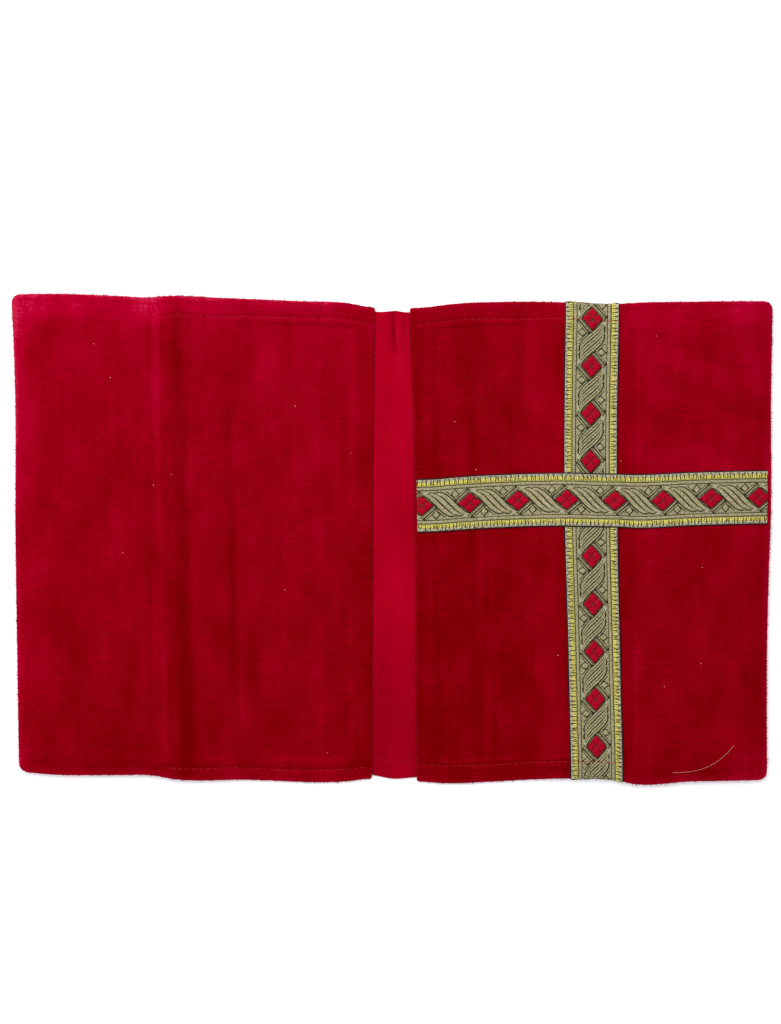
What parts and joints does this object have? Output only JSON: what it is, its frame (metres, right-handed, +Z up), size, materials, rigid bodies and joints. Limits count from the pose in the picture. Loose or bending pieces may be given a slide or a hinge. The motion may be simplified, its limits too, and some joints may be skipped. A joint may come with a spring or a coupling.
{
  "type": "prayer book cover",
  "caption": "Open slip-on cloth cover for a prayer book: velvet panels with inner pockets, a folding satin spine and woven bands crossing on the front.",
  "frame": {"origin": "on the table under the middle of the spine strip, which is the bottom centre of the open cover", "axes": "+X from the spine to the front panel's fore edge, +Y from tail to head, +Z up, out of the outside of the cover, which lies open on its inside"},
  "size_m": [0.352, 0.2252, 0.0093],
  "materials": {
    "velvet": "short-pile cotton velvet",
    "satin": "soft sheen",
    "galloon": "woven metallic",
    "thread": "polyester sewing thread"
  },
  "bodies": {
    "spine": {"spine_strip": "satin", "spine_hem_stitching": "thread", "back_seam_stitching": "thread", "front_seam_stitching": "thread"},
    "back_cover": {"back_panel": "velvet", "back_pocket": "velvet", "back_hem_stitching": "thread", "back_pocket_seam_stitching": "thread", "back_pocket_hem_stitching": "thread"},
    "front_cover": {"front_panel": "velvet", "front_pocket": "velvet", "front_hem_stitching": "thread", "front_pocket_seam_stitching": "thread", "front_pocket_hem_stitching": "thread", "upright_band": "galloon", "cross_band": "galloon", "upright_band_stitching": "thread", "cross_band_stitching": "thread"}
  },
  "joints": [
    {"name": "back_fold", "type": "hinge", "parent": "spine", "child": "back_cover", "pos_m": [-0.01, 0, 0.001], "axis": [0, -1, 0], "range_deg": [-90, 90]},
    {"name": "front_fold", "type": "hinge", "parent": "spine", "child": "front_cover", "pos_m": [0.01, 0, 0.001], "axis": [0, 1, 0], "range_deg": [-90, 90]}
  ]
}
